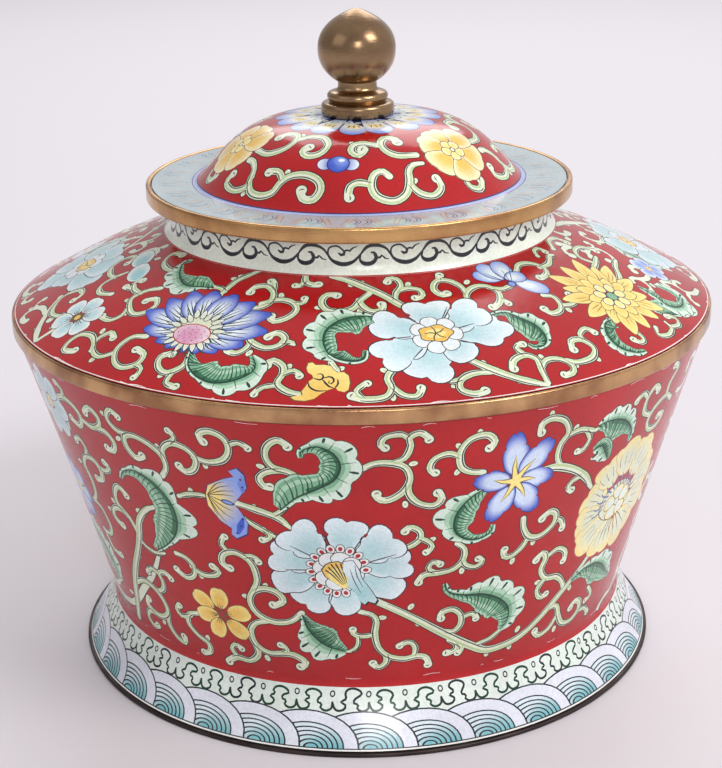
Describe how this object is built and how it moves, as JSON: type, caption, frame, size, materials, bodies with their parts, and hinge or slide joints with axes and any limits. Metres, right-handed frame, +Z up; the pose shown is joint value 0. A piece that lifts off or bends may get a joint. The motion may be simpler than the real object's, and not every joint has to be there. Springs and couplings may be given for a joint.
{
  "type": "painted enamel covered jar",
  "caption": "Round enamelled metal jar with a flared foot, brass-bound shoulder and a domed lift-off lid with a turned brass knob.",
  "frame": {"origin": "middle of the underside, on the surface the jar stands on", "axes": "+Z up along the jar's axis; -Y faces the viewer of the picture"},
  "size_m": [0.25, 0.25, 0.2312],
  "materials": {
    "body_enamel": "glossy painted enamel, red ground with flower scrolls, pale bands of waves and cloud scrolls",
    "lid_enamel": "glossy painted enamel, red dome with flowers inside a pale blue brim",
    "band_brass": "worn brushed brass with coppery patches",
    "rim_brass": "worn brushed brass",
    "knob_brass": "turned brass, browned, brighter in the neck",
    "dark_brass": "dark tarnished metal"
  },
  "bodies": {
    "root": {"bowl": "body_enamel", "shoulder": "body_enamel", "foot_rim": "dark_brass", "shoulder_band": "band_brass", "lid": "lid_enamel", "lid_rim": "rim_brass", "finial": "knob_brass"}
  },
  "joints": []
}
